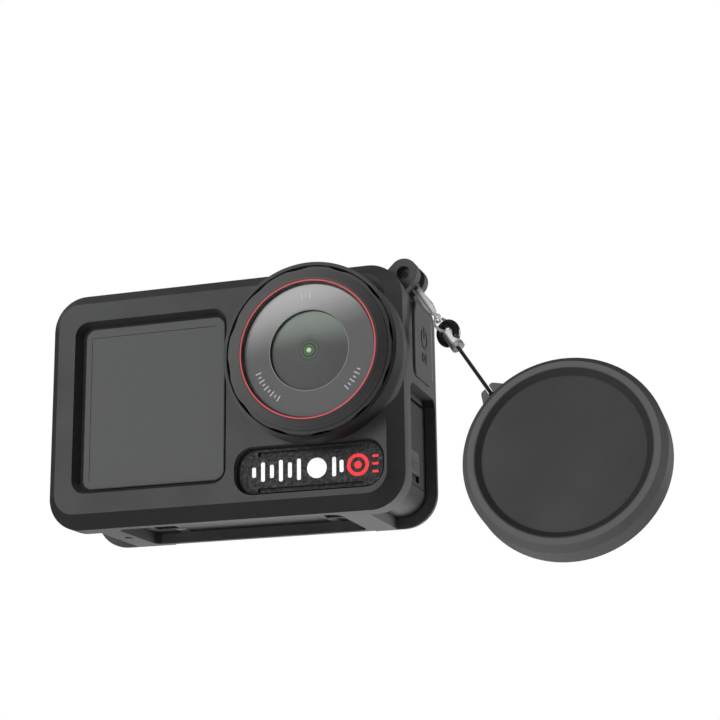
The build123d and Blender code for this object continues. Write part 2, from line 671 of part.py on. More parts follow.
CLASP_T = 1.4
clasp_plane = Plane(origin=lug, x_dir=u, z_dir=w)
GATE_S, GATE_A = 4.4, -0.32  # gate pivot, along the lanyard and to the side
SWIVEL_S = 8.2  # start of the swivel's bore
with BuildSketch() as clasp_upper:
    Circle(1.25)
    with Locations((4.6, 0)):
        Circle(0.72)
    make_hull()
with BuildSketch() as clasp_middle:
    with Locations((4.6, 0)):
        Circle(0.72)
    with Locations((7.3, 0)):
        Circle(0.98)
    make_hull()
with BuildSketch() as clasp_lower:
    with Locations((7.3, 0)):
        Circle(0.98)
    with Locations((9.35, 0)):
        Circle(0.62)
    make_hull()
with BuildSketch() as clasp_hole:
    Circle(0.85)
    with Locations((3.2, 0)):
        Circle(0.42)
    make_hull()
with BuildSketch() as gate_lever:
    with Locations((1.78, -0.74)):
        Circle(0.16)
    with Locations((GATE_S, GATE_A)):
        Circle(0.34)
    make_hull()
    with Locations((GATE_S, GATE_A)):
        Circle(0.22, mode=Mode.SUBTRACT)

with BuildPart() as clasp_body:
    with BuildSketch(clasp_plane.offset(-CLASP_T / 2)):
        add(clasp_upper.sketch)
        add(clasp_middle.sketch)
        add(clasp_lower.sketch)
        add(clasp_hole.sketch, mode=Mode.SUBTRACT)
        # mouth closed by the gate
        with Locations((2.5, -0.85)):
            Rectangle(2.0, 1.0, mode=Mode.SUBTRACT)
    extrude(amount=CLASP_T)
    # slot and bore for the gate
    with BuildSketch(clasp_plane.offset(-0.38)):
        with Locations((4.15, -0.45)):
            Rectangle(2.1, 1.3)
    extrude(amount=0.76, mode=Mode.SUBTRACT)
    with BuildSketch(clasp_plane.offset(-1)):
        with Locations((GATE_S, GATE_A)):
            Circle(0.18)
    extrude(amount=2, mode=Mode.SUBTRACT)
    with BuildSketch(Plane(origin=along(SWIVEL_S), x_dir=w, z_dir=u)):
        Circle(0.4)
    extrude(amount=3, mode=Mode.SUBTRACT)
keep(clasp_body, "clasp_body")

with BuildPart() as clasp_gate:
    with BuildSketch(clasp_plane.offset(-0.31)):
        add(gate_lever.sketch)
    extrude(amount=0.62)
keep(clasp_gate, "clasp_gate")

with BuildPart() as clasp_rivet:
    with BuildSketch(clasp_plane.offset(-CLASP_T / 2)):
        with Locations((GATE_S, GATE_A)):
            Circle(0.18)
    extrude(amount=CLASP_T)
keep(clasp_rivet, "clasp_rivet")

# the ring lies flat to the clasp, the cord loop leans across it, and the eye stands square to the ring


def lean(degrees):
    """Direction square to the lanyard, this far round from the camera's side."""
    return v * cos(radians(degrees)) + w * sin(radians(degrees))


RING_LEAN, LOOP_LEAN, EYE_LEAN = 40, 115, 130
EYE_S, RING_S, LOOP_S = 11.2, 12.95, 15.3
RING_R, RING_WIRE, LOOP_R, LOOP_CORD = 1.75, 0.16, 1.95, 0.85
FERRULE_S0, FERRULE_S1, FERRULE_R = 15.0, 18.3, 1.28
# the cord's two strands run side by side, a bend radius each side of the line
CORD_R, CORD_BEND = 0.34, 0.62

with BuildPart() as swivel_eye:
    with BuildSketch(Plane(origin=along(8.7), x_dir=w, z_dir=u)):
        Circle(0.34)
    extrude(amount=1.8)
    with Locations(Plane(origin=along(EYE_S), x_dir=u, z_dir=lean(EYE_LEAN))):
        Torus(0.75, 0.28)
keep(swivel_eye, "swivel_eye")

with BuildPart() as split_ring:
    for shift in (-0.17, 0.17):
        coil = along(RING_S) + lean(RING_LEAN) * shift
        with Locations(Plane(origin=coil, x_dir=u, z_dir=lean(RING_LEAN))):
            Torus(RING_R, RING_WIRE)
    bend = along(RING_S) + lean(RING_LEAN + 90) * RING_R
    with Locations(Plane(origin=bend, x_dir=u, z_dir=lean(RING_LEAN))):
        Box(0.5, 0.2, 0.3)
keep(split_ring, "split_ring")

with BuildPart() as cord_loop:
    with Locations(Plane(origin=along(LOOP_S), x_dir=u, z_dir=lean(LOOP_LEAN))):
        Torus(LOOP_R, LOOP_CORD)
    # its two ends meet the ferrule's sides
    with BuildSketch(Plane(origin=along(FERRULE_S0), x_dir=w, z_dir=u)):
        Circle(FERRULE_R)
    extrude(amount=FERRULE_S1 - FERRULE_S0 + 1, mode=Mode.SUBTRACT)
keep(cord_loop, "cord_loop")

with BuildPart() as ferrule:
    with BuildSketch(Plane(origin=along(FERRULE_S0), x_dir=w, z_dir=u)):
        Circle(FERRULE_R)
    extrude(amount=FERRULE_S1 - FERRULE_S0)
    chamfer(ferrule.faces().sort_by(SortBy.AREA)[-1].edges(), 0.2)
keep(ferrule, "ferrule")

with BuildPart() as ferrule_collar:
    with BuildSketch(Plane(origin=along(FERRULE_S1), x_dir=w, z_dir=u)):
        Circle(1.38)
        with Locations((CORD_BEND, 0), (-CORD_BEND, 0)):
            Circle(CORD_R, mode=Mode.SUBTRACT)
    extrude(amount=0.9)
keep(ferrule_collar, "ferrule_collar")

with BuildPart() as tether_cord:
    with BuildLine():
        a1 = along(FERRULE_S1, b=CORD_BEND)
        a2 = along(reach, b=CORD_BEND)
        b1 = along(FERRULE_S1, b=-CORD_BEND)
        b2 = along(reach, b=-CORD_BEND)
        Line(a1, a2)
        ThreePointArc(a2, along(reach + CORD_BEND), b2)
        Line(b2, b1)
    with BuildSketch(Plane(origin=a1, x_dir=w, z_dir=u)):
        Circle(CORD_R)
    sweep()
keep(tether_cord, "tether_cord")

cord_run = 2 * (reach - FERRULE_S1) + 3.14159 * CORD_BEND
print("cord: strand radius", CORD_R, "run", round(cord_run, 2), "bend radius at the tab pin", CORD_BEND)
print("cord volume", round(tether_cord.part.volume, 3), "expected", round(3.14159 * CORD_R**2 * cord_run, 3))
print("reach", round(reach, 3), "u", u, "w", w, "v", v)
print("tab pin", tab_pin_c, "tab side", tab_side, "cap normal", cap_n, "e1", cap_e1, "e2", cap_e2)
print("gate pivot", along(GATE_S, a=GATE_A), "swivel point", along(SWIVEL_S))
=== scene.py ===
"""Looks of the action camera in its silicone sleeve. Metres, in the CAD frame."""

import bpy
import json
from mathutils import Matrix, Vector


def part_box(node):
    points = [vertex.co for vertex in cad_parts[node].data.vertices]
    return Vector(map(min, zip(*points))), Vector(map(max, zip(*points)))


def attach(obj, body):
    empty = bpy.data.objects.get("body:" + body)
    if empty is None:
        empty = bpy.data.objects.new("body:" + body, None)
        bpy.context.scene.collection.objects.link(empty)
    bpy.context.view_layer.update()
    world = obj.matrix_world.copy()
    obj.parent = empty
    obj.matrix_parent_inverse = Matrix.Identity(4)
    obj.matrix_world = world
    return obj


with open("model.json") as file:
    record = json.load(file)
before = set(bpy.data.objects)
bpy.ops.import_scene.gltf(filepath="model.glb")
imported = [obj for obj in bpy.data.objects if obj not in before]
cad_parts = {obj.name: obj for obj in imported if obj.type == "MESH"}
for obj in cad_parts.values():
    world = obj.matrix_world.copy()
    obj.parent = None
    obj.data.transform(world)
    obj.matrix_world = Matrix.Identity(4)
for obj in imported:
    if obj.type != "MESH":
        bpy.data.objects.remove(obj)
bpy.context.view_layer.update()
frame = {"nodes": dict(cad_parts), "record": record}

import json
from math import cos, pi, radians, sin

import bmesh
import bpy
from mathutils import Matrix, Vector

MM = 0.001
NODES = frame["nodes"]
X, Y, Z = Vector((1, 0, 0)), Vector((0, 1, 0)), Vector((0, 0, 1))
WHITE = (1.0, 1.0, 1.0, 1.0)

# ---------------------------------------------------------------- places on the object
guard_lo, guard_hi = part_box("lens_guard_ring")
LENS = Vector(((guard_lo[0] + guard_hi[0]) / 2, 0, (guard_lo[2] + guard_hi[2]) / 2))
pad_lo, pad_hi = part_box("power_pad")
# centre of the lens cap's outer face
CAP_FACE = (68.07 * MM, -12.09 * MM, 6.01 * MM)
# the lanyard's line and the direction across it, from its joints
JOINTS = {joint["name"]: joint for joint in frame["record"]["behaviour"]["joints"]}
SWIVEL_AT = Vector(JOINTS["lanyard_swivel"]["pos_m"])
LINE = Vector(JOINTS["lanyard_swivel"]["axis"])
ACROSS = Vector(JOINTS["clasp_gate_open"]["axis"]).cross(LINE)

# ---------------------------------------------------------------- shader helpers


class Shader:
    """A node material built line by line."""

    def __init__(self, name):
        self.mat = bpy.data.materials.new(name)
        self.mat.use_nodes = True
        self.nodes = self.mat.node_tree.nodes
        self.links = self.mat.node_tree.links
        self.bsdf = self.nodes["Principled BSDF"]
        self.coords = self.nodes.new("ShaderNodeTexCoord")

    def put(self, kind, **values):
        node = self.nodes.new(kind)
        for key, value in values.items():
            if key in node.inputs:
                node.inputs[key].default_value = value
            else:
                setattr(node, key, value)
        return node

    def join(self, out, into):
        self.links.new(out, into)

    def noise(self, scale, detail=4.0, rough=0.55):
        node = self.put("ShaderNodeTexNoise", Scale=scale, Detail=detail, Roughness=rough)
        self.join(self.coords.outputs["Object"], node.inputs["Vector"])
        return node.outputs["Fac"]

    def voronoi(self, scale, feature="F1"):
        node = self.put("ShaderNodeTexVoronoi", feature=feature, Scale=scale)
        self.join(self.coords.outputs["Object"], node.inputs["Vector"])
        return node.outputs["Distance"]

    def ramp(self, fac, stops):
        node = self.nodes.new("ShaderNodeValToRGB")
        ramp = node.color_ramp
        while len(ramp.elements) < len(stops):
            ramp.elements.new(0.5)
        for element, (at, colour) in zip(ramp.elements, stops):
            element.position = at
            element.color = (*colour, 1.0) if len(colour) == 3 else colour
        self.join(fac, node.inputs["Fac"])
        return node.outputs["Color"]

    def span(self, value, low, high, to_low=0.0, to_high=1.0, smooth=False):
        node = self.nodes.new("ShaderNodeMapRange")
        node.interpolation_type = "SMOOTHSTEP" if smooth else "LINEAR"
        for key, number in zip(("From Min", "From Max", "To Min", "To Max"), (low, high, to_low, to_high)):
            node.inputs[key].default_value = number
        self.join(value, node.inputs["Value"])
        return node.outputs["Result"]

    def maths(self, operation, a, b=0.0):
        node = self.put("ShaderNodeMath", operation=operation)
        for socket, item in zip(node.inputs, (a, b)):
            if hasattr(item, "is_output"):
                self.join(item, socket)
            else:
                socket.default_value = item
        return node.outputs[0]

    def mix(self, fac, a, b):
        node = self.nodes.new("ShaderNodeMix")
        node.data_type = "RGBA"
        for key, item in (("Factor", fac), ("A", a), ("B", b)):
            socket = [s for s in node.inputs if s.name == key and (s.type == "RGBA" or key == "Factor")][0]
            if hasattr(item, "is_output"):
                self.join(item, socket)
            else:
                socket.default_value = (*item, 1.0) if isinstance(item, tuple) else item
        return [s for s in node.outputs if s.type == "RGBA"][0]

    def axis(self, which, source="Object"):
        node = self.nodes.new("ShaderNodeSeparateXYZ")
        self.join(self.coords.outputs[source], node.inputs[0])
        return node.outputs[which]

    def from_point(self, centre):
        """The place on the object, counted from a point."""
        less = self.put("ShaderNodeVectorMath", operation="SUBTRACT")
        self.join(self.coords.outputs["Object"], less.inputs[0])
        less.inputs[1].default_value = centre
        return less.outputs[0]

    def radial(self, centre, keep=(1.0, 0.0, 1.0)):
        """Distance from an axis through centre, in metres."""
        flat = self.put("ShaderNodeVectorMath", operation="MULTIPLY")
        self.join(self.from_point(centre), flat.inputs[0])
        flat.inputs[1].default_value = keep
        size = self.put("ShaderNodeVectorMath", operation="LENGTH")
        self.join(flat.outputs[0], size.inputs[0])
        return size.outputs["Value"]

    def along(self, centre, direction):
        """Distance from centre along a direction, in metres."""
        dot = self.put("ShaderNodeVectorMath", operation="DOT_PRODUCT")
        self.join(self.from_point(centre), dot.inputs[0])
        dot.inputs[1].default_value = direction
        return dot.outputs["Value"]

    def bump(self, height, strength, distance):
        node = self.put("ShaderNodeBump", Strength=strength, Distance=distance)
        self.join(height, node.inputs["Height"])
        self.join(node.outputs["Normal"], self.bsdf.inputs["Normal"])

    def set(self, **values):
        for key, value in values.items():
            self.bsdf.inputs[key.replace("_", " ")].default_value = value

    def colour(self, out):
        self.join(out, self.bsdf.inputs["Base Color"])

    def rough(self, out):
        self.join(out, self.bsdf.inputs["Roughness"])


def tone(grey, tint=(1.0, 1.0, 1.0)):
    """A linear grey with a slight tint."""
    return tuple(grey * t for t in tint)


COOL = (0.985, 1.0, 1.02)
# bump distances, in metres
GRAIN_BUMP = 0.00006
COARSE_BUMP = 0.00012
BRAID_BUMP = 0.00008
TRACE_BUMP = 0.00005
PRINT_BUMP = 0.00003
FINE_BUMP = 0.00002
# turned lines on the lens guard, in radians of a sine wave per metre of radius
TURNED_LINES = 9000.0


def moulded(name, grey, rough, grain=2200.0, depth=0.35, bevel_shade=None, shade=None):
    """Moulded plastic or silicone: fine grain, slow change of tone, and at will painted shade where the
    front edge slopes.
    """
    s = Shader(name)
    slow = s.noise(60.0, 3.0)
    fine = s.noise(grain, 5.0)
    colour = s.ramp(slow, [(0.35, tone(grey * 0.9, COOL)), (0.65, tone(grey * 1.1, COOL))])
    if bevel_shade:
        # painted shade: the front edge is darker where it slopes, and darker still where it faces down
        slope = s.axis(1, "Normal")
        enter = s.span(slope, -0.985, -0.90, smooth=True)
        leave = s.span(slope, -0.42, -0.22, 1.0, 0.0, smooth=True)
        lower = s.span(s.axis(2, "Normal"), -0.15, 0.35, 1.0, 0.35, smooth=True)
        mask = s.maths("MULTIPLY", s.maths("MULTIPLY", enter, leave), lower)
        colour = s.mix(mask, colour, tone(grey * bevel_shade, COOL))
    if shade:
        colour = shade(s, colour)
    s.colour(colour)
    s.rough(s.span(fine, 0.3, 0.7, rough - 0.05, rough + 0.05))
    s.bump(fine, depth, GRAIN_BUMP)
    s.set(Specular_IOR_Level=0.4)
    return s.mat


def collar_shade(s, colour):
    """Painted shade on the lens collar, from its right round to its foot."""
    radius = s.radial((LENS.x, 0.0, LENS.z))
    ring = s.span(radius, 18.2 * MM, 20.2 * MM, 1.0, 0.0, smooth=True)
    ring = s.maths("MULTIPLY", ring, s.span(s.axis(1), -15.0 * MM, -14.0 * MM, 1.0, 0.0))
    across = s.maths("SUBTRACT", s.axis(0), s.axis(2))
    lean = s.span(across, LENS.x - LENS.z - 2 * MM, LENS.x - LENS.z + 20 * MM, smooth=True)
    return s.mix(s.maths("MULTIPLY", ring, lean), colour, (0.009, 0.009, 0.009))


def pad_edge_highlight(s, colour):
    """Painted highlight on the rear edge of the power pad."""
    out = s.span(s.axis(1), pad_hi[1] - 0.75 * MM, pad_hi[1] - 0.45 * MM, smooth=True)
    out = s.maths("MULTIPLY", out, s.span(s.axis(0, "Normal"), 0.15, 0.5, smooth=True))
    return s.mix(out, colour, (0.30, 0.30, 0.305))


def guard_shade(s, colour):
    """Black anodising with painted shade that falls off from the upper left round to the lower right, and
    fine turned lines.
    """
    across = s.maths("SUBTRACT", s.axis(2), s.axis(0))
    lean = s.span(across, LENS.z - LENS.x - 22 * MM, LENS.z - LENS.x + 20 * MM, smooth=True)
    shaded = s.mix(lean, (0.030, 0.030, 0.030), (0.085, 0.084, 0.083))
    radius = s.radial((LENS.x, 0.0, LENS.z))
    line = s.maths("SINE", s.maths("MULTIPLY", radius, TURNED_LINES))
    return s.mix(s.span(line, 0.6, 1.0, 0.0, 0.07), shaded, (0.14, 0.14, 0.14))


def cap_shade(s, colour):
    """Painted shade on the step round the cap's face, darker than the lip and the disc, and on the cap's
    underside; a painted highlight on the lip.
    """
    radius = s.radial(CAP_FACE, (1.0, 1.0, 1.0))
    # painted shade where the cap faces down
    under = s.span(s.axis(2, "Normal"), -0.5, -0.1, 0.85, 0.0, smooth=True)
    colour = s.mix(under, colour, (0.016, 0.016, 0.0163))
    inner, outer = s.span(radius, 15.45 * MM, 15.75 * MM), s.span(radius, 16.75 * MM, 17.0 * MM, 1.0, 0.0)
    step = s.maths("MULTIPLY", inner, outer)
    # painted highlight round the cap's front rim
    lip = s.span(radius, 16.9 * MM, 17.2 * MM)
    lip = s.maths("MULTIPLY", lip, s.span(s.axis(1, "Normal"), -0.9, -0.6, 1.0, 0.0))
    pale = s.mix(lip, colour, (0.105, 0.105, 0.107))
    return s.mix(step, pale, (0.024, 0.024, 0.0245))


def front_only(s, colour):
    """Colour on the front face, grey on the walls."""
    front = s.span(s.axis(1, "Normal"), -0.8, -0.5, 1.0, 0.0)
    return s.mix(front, (0.13, 0.13, 0.13), colour)


def metal(name, grey, rough, tint=(1.0, 1.0, 1.0), metallic=1.0):
    """Plated or drawn metal: fine streaks and small changes of gloss."""
    s = Shader(name)
    fine = s.noise(900.0, 6.0, 0.65)
    slow = s.noise(160.0, 2.0)
    s.colour(s.ramp(slow, [(0.3, tone(grey * 0.9, tint)), (0.7, tone(grey, tint))]))
    s.rough(s.span(fine, 0.3, 0.7, rough * 0.7, rough * 1.4))
    s.bump(fine, 0.25, FINE_BUMP)
    s.set(Metallic=metallic)
    return s.mat


def painted_mirror(name, half_width, reflection_bands, rough=0.16, metallic=0.5):
    """Bright plating with painted reflections: its tone runs in stripes across the lanyard's line, as a
    mirror finish would reflect.
    """
    s = Shader(name)
    across = s.span(s.along(SWIVEL_AT, ACROSS), -half_width, half_width)
    s.colour(s.ramp(across, [(at, tone(grey)) for at, grey in reflection_bands]))
    fine = s.noise(900.0, 6.0, 0.65)
    s.rough(s.span(fine, 0.3, 0.7, rough * 0.8, rough * 1.3))
    s.bump(fine, 0.15, FINE_BUMP)
    s.set(Metallic=metallic)
    return s.mat


def gloss(name, grey, rough, tint=COOL, coat=0.0):
    """Smooth, hard surface with faint specks."""
    s = Shader(name)
    fine = s.noise(3000.0, 4.0)
    s.colour(s.ramp(fine, [(0.3, tone(grey * 0.96, tint)), (0.7, tone(grey * 1.04, tint))]))
    s.rough(s.span(fine, 0.3, 0.7, rough * 0.9, rough * 1.12))
    s.set(Coat_Weight=coat, Coat_Roughness=0.04)
    return s.mat


def grained(name, grey, rough):
    """Coarse spark-eroded grain, light on its peaks."""
    s = Shader(name)
    cells = s.voronoi(1500.0)
    fine = s.noise(2550.0, 4.0, 0.7)
    mixed = s.maths("MULTIPLY", cells, fine)
    s.colour(s.ramp(mixed, [(0.08, tone(grey * 0.45)), (0.28, tone(grey)), (0.5, tone(grey * 2.0))]))
    s.rough(s.span(fine, 0.3, 0.7, rough - 0.1, rough + 0.1))
    s.bump(mixed, 0.8, COARSE_BUMP)
    return s.mat


def braid(name, grey):
    """Tight braid of fine filaments."""
    s = Shader(name)
    cells = s.voronoi(5200.0, "SMOOTH_F1")
    s.colour(s.ramp(cells, [(0.1, tone(grey * 1.8)), (0.6, tone(grey * 0.5))]))
    s.rough(s.span(cells, 0.0, 0.7, 0.5, 0.7))
    s.bump(cells, 0.6, BRAID_BUMP)
    s.set(Sheen_Weight=0.2, Sheen_Roughness=0.4)
    return s.mat


def paint(name, rgb, rough=0.4, painted_glow=0.0, shade=None):
    """Printed ink with slightly uneven cover, and at will emission as painted light."""
    s = Shader(name)
    fine = s.noise(2600.0, 5.0)
    colour = s.ramp(fine, [(0.25, tuple(c * 0.88 for c in rgb)), (0.6, rgb)])
    s.colour(shade(s, colour) if shade else colour)
    s.rough(s.span(fine, 0.3, 0.7, rough - 0.06, rough + 0.06))
    s.bump(fine, 0.15, FINE_BUMP)
    if painted_glow:
        s.set(Emission_Color=(*rgb, 1.0), Emission_Strength=painted_glow)
    return s.mat


def clear(name, tint, alpha):
    """Coated cover glass, seen through."""
    s = Shader(name)
    smear = s.noise(90.0, 3.0)
    s.colour(s.ramp(smear, [(0.3, tint), (0.7, tuple(c * 1.06 for c in tint))]))
    s.rough(s.span(smear, 0.4, 0.75, 0.02, 0.05))
    s.set(Alpha=alpha, IOR=1.5, Coat_Weight=1.0, Coat_Roughness=0.02, Specular_IOR_Level=0.5)
    s.mat.surface_render_method = "BLENDED"
    return s.mat


def lens_painted_reflections(name):
    """Dark lens with painted reflections: a greenish sheen, strongest where the glass leans up, faint
    ring-shaped reflections of the inner elements, and a glint from the iris.
    """
    s = Shader(name)
    radius = s.radial((LENS.x, 0.0, LENS.z))
    height = s.axis(2)
    up = s.span(height, LENS.z - 0.5 * MM, LENS.z + 7.5 * MM, smooth=True)
    veil = s.noise(140.0, 3.0)
    green_reflection = s.ramp(veil, [(0.3, (0.310, 0.350, 0.310)), (0.7, (0.350, 0.395, 0.350))])
    body = s.mix(up, (0.120, 0.120, 0.120), green_reflection)
    # painted reflections of the inner elements, with a painted glint of the iris in the middle
    ring_reflections = s.ramp(s.span(radius, 0.0, 8.0 * MM), [
        (0.0, (0.85, 1.0, 0.80)), (0.05, (0.60, 0.85, 0.55)), (0.075, (0.06, 0.10, 0.06)),
        (0.12, (0.16, 0.26, 0.15)), (0.155, (0.05, 0.07, 0.05)), (0.19, (0.14, 0.18, 0.14)),
        (0.25, (0.095, 0.105, 0.095)), (0.31, (0.15, 0.165, 0.15)), (0.36, (0.110, 0.118, 0.110)),
        (0.46, (0.15, 0.155, 0.15))])
    near = s.span(radius, 1.2 * MM, 3.6 * MM, 1.0, 0.0, smooth=True)
    s.colour(s.mix(near, body, ring_reflections))
    s.rough(s.span(veil, 0.3, 0.7, 0.10, 0.16))
    s.set(Coat_Weight=0.3, Coat_Roughness=0.08, Specular_IOR_Level=0.3)
    return s.mat


def lens_annulus(name):
    """Satin black print behind the cover glass, with a painted reflection that makes it paler towards its
    top.
    """
    s = Shader(name)
    tilt = 0.25
    lean = s.maths("SUBTRACT", s.axis(2), s.maths("MULTIPLY", s.axis(0), tilt))
    middle = LENS.z - tilt * LENS.x
    up = s.span(lean, middle + 1.0 * MM, middle + 13.5 * MM, smooth=True)
    fine = s.noise(3800.0, 4.0)
    dark = s.ramp(fine, [(0.3, (0.150, 0.150, 0.151)), (0.7, (0.164, 0.164, 0.165))])
    # painted reflection: the print turns pale towards its top
    s.colour(s.mix(up, dark, (0.60, 0.60, 0.60)))
    s.rough(s.span(fine, 0.3, 0.7, 0.36, 0.44))
    s.bump(fine, 0.08, PRINT_BUMP)
    s.set(Specular_IOR_Level=0.35)
    return s.mat


def board(name):
    """Green solder mask with traces."""
    s = Shader(name)
    cells = s.voronoi(700.0)
    s.colour(s.ramp(cells, [(0.2, (0.010, 0.060, 0.028)), (0.6, (0.016, 0.100, 0.050))]))
    s.rough(s.span(cells, 0.0, 1.0, 0.3, 0.45))
    s.bump(cells, 0.3, TRACE_BUMP)
    return s.mat


# ---------------------------------------------------------------- materials of the CAD nodes
# painted reflections: tone across each plated piece, from the outer side to the camera's side
TUBE_REFLECTION_BANDS = [(0.0, 0.10), (0.12, 0.6), (0.28, 1.0), (0.55, 1.0), (0.66, 0.30), (0.84, 0.05), (1.0, 0.25)]
COLLAR_REFLECTION_BANDS = [(0.0, 0.10), (0.25, 0.30), (0.45, 0.42), (0.65, 0.16), (0.85, 0.05), (1.0, 0.12)]
CLASP_REFLECTION_BANDS = [
    (0.0, 0.05), (0.15, 0.5), (0.3, 1.0), (0.45, 0.9), (0.58, 0.22), (0.75, 0.75), (0.9, 0.3), (1.0, 0.05)]

MATS = {
    "silicone": moulded("silicone", 0.064, 0.62, bevel_shade=0.18, shade=collar_shade),
    "pad_silicone": moulded("pad_silicone", 0.064, 0.58, shade=pad_edge_highlight),
    "cap_silicone": moulded("cap_silicone", 0.052, 0.68, shade=cap_shade),
    "shell": moulded("camera_shell", 0.016, 0.55, grain=3200.0, depth=0.5),
    "door": moulded("door_plastic", 0.014, 0.50, grain=3200.0, depth=0.5),
    "latch": moulded("latch_grey", 0.075, 0.42, grain=3600.0, depth=0.3),
    "key": moulded("key_plastic", 0.045, 0.5),
    "guard": moulded("guard_black", 0.050, 0.42, grain=3600.0, depth=0.15, shade=guard_shade),
    "red": paint("accent_red", (0.66, 0.10, 0.11), shade=front_only),
    "cover_glass": clear("cover_glass", (0.02, 0.022, 0.021), alpha=0.10),
    "lens_print": lens_annulus("lens_print"),
    "lens_black": moulded("lens_black", 0.012, 0.7),
    "lens": lens_painted_reflections("lens_painted_reflections"),
    "sensor": gloss("sensor", 0.03, 0.15, (1.0, 0.9, 1.3)),
    "board": board("circuit_board"),
    "copper": metal("copper_sheet", 0.75, 0.3, (1.0, 0.6, 0.42)),
    "screen": gloss("screen_glass", 0.085, 0.34),
    "display": gloss("display_panel", 0.012, 0.2),
    "badge": grained("badge_grain", 0.036, 0.62),
    "steel": metal("steel_grey", 0.55, 0.35),
    "magnet": metal("magnet_nickel", 0.7, 0.2),
    "battery": moulded("battery_black", 0.03, 0.5),
    "gold": metal("contact_gold", 0.85, 0.25, (1.0, 0.78, 0.36)),
    "seal": moulded("seal_rubber", 0.22, 0.6),
    "card": moulded("card_plastic", 0.02, 0.45),
    "switch": gloss("switch_body", 0.03, 0.35),
    "light": gloss("light_lens", 0.55, 0.3),
    "screw": metal("screw_black", 0.18, 0.35),
    "cord": braid("cord_black", 0.012),
    "cord_gloss": gloss("cord_gloss", 0.006, 0.14, coat=0.8),
    "pin": moulded("pin_black", 0.02, 0.5),
    "nickel": metal("clasp_nickel", 0.90, 0.2, metallic=0.4),
    "clasp": painted_mirror("clasp_plating", 1.3 * MM, CLASP_REFLECTION_BANDS, metallic=0.25),
    "wire": metal("wire_steel", 0.80, 0.25, metallic=0.5),
    "chrome": painted_mirror("ferrule_chrome", 1.3 * MM, TUBE_REFLECTION_BANDS, metallic=0.15),
    "collar": painted_mirror("collar_chrome", 1.4 * MM, COLLAR_REFLECTION_BANDS, rough=0.45, metallic=0.0),
    "mark_grey": paint("mark_grey", (0.74, 0.75, 0.76)),
}
MATERIAL_OF = {
    "silicone": ("silicone_sleeve",),
    "pad_silicone": ("power_pad", "record_pad"),
    "cap_silicone": ("lens_cap",),
    "shell": ("front_housing", "rear_housing", "lens_mount_ring", "base_plate"),
    "door": ("usb_cover", "battery_door"),
    "latch": ("usb_latch", "battery_latch"),
    "key": ("power_button", "record_button"),
    "guard": ("lens_guard_ring",),
    "red": ("accent_ring",),
    "cover_glass": ("lens_guard_glass",),
    "lens_print": ("lens_face_plate",),
    "lens_black": ("lens_barrel",),
    "lens": ("front_element", "middle_element", "rear_element"),
    "sensor": ("image_sensor",),
    "board": ("sensor_board", "main_board"),
    "copper": ("heat_spreader",),
    "screen": ("front_screen_glass", "rear_screen_glass"),
    "display": ("front_display", "rear_display"),
    "badge": ("badge_plate",),
    "steel": (
        "base_catches", "battery_hinge_pin", "usb_hinge_pin", "card_socket", "usb_socket", "microphones",
    ),
    "magnet": ("base_magnets",),
    "battery": ("battery",),
    "gold": ("battery_contacts",),
    "seal": ("door_seal",),
    "card": ("memory_card",),
    "switch": ("power_switch", "record_switch", "speaker"),
    "light": ("status_light",),
    "screw": ("housing_screws",),
    "cord": ("tether_cord",),
    "cord_gloss": ("cord_loop",),
    "pin": ("lug_pin", "tab_pin"),
    "nickel": ("clasp_gate", "clasp_rivet", "swivel_eye"),
    "clasp": ("clasp_body",),
    "wire": ("split_ring",),
    "chrome": ("ferrule",),
    "collar": ("ferrule_collar",),
}
for key, names in MATERIAL_OF.items():
    for node in names:
        data = NODES[node].data
        data.materials.clear()
        data.materials.append(MATS[key])

# ---------------------------------------------------------------- new pieces


def piece(name, build, material, body):
    """A mesh piece made by build(bmesh), riding on a body."""
    bm = bmesh.new()
    build(bm)
    bmesh.ops.recalc_face_normals(bm, faces=bm.faces)
    mesh = bpy.data.meshes.new(name)
    bm.to_mesh(mesh)
    bm.free()
    obj = bpy.data.objects.new(name, mesh)
    bpy.context.scene.collection.objects.link(obj)
    mesh.materials.append(MATS[material])
    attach(obj, body)


def tile(bm, outline, origin, across, up, height):
    """Thin raised tile: outline points (a, b) in millimetres, laid on the plane of across and up."""
    lift = across.cross(up).normalized() * height
    low = [bm.verts.new(origin + across * (a * MM) + up * (b * MM)) for a, b in outline]
    high = [bm.verts.new(v.co + lift) for v in low]
    bm.faces.new(high)
    bm.faces.new(list(reversed(low)))
    count = len(low)
    for i in range(count):
        j = (i + 1) % count
        bm.faces.new((low[i], low[j], high[j], high[i]))


def ring_tile(bm, origin, across, up, r_in, r_out, height, start=0.0, sweep=360.0, steps=48):
    """Thin raised arc band."""
    lift = across.cross(up).normalized() * height
    closed = sweep >= 360.0
    rows = []
    for i in range(steps + (0 if closed else 1)):
        angle = radians(start + sweep * i / steps)
        way = across * cos(angle) + up * sin(angle)
        corners = [origin + way * (r * MM) for r in (r_in, r_out)]
        rows.append([bm.verts.new(c + lift * k) for k in (0, 1) for c in corners])
    pairs = zip(rows, rows[1:] + rows[:1]) if closed else zip(rows, rows[1:])
    for a, b in pairs:
        for p, q in ((0, 1), (1, 3), (3, 2), (2, 0)):
            bm.faces.new((a[p], a[q], b[q], b[p]))
    if not closed:
        for row in (rows[0], rows[-1]):
            bm.faces.new((row[0], row[1], row[3], row[2]))


def bar(half_w, half_h, x=0.0, z=0.0, r=0.0):
    """Outline of a bar with rounded corners, in millimetres."""
    if not r:
        return [(x + half_w * a, z + half_h * b) for a, b in ((-1, -1), (1, -1), (1, 1), (-1, 1))]
    points = []
    for cx, cz, start in ((1, -1, -90), (1, 1, 0), (-1, 1, 90), (-1, -1, 180)):
        for k in range(5):
            t = radians(start + 22.5 * k)
            points.append((x + cx * (half_w - r) + r * cos(t), z + cz * (half_h - r) + r * sin(t)))
    return points


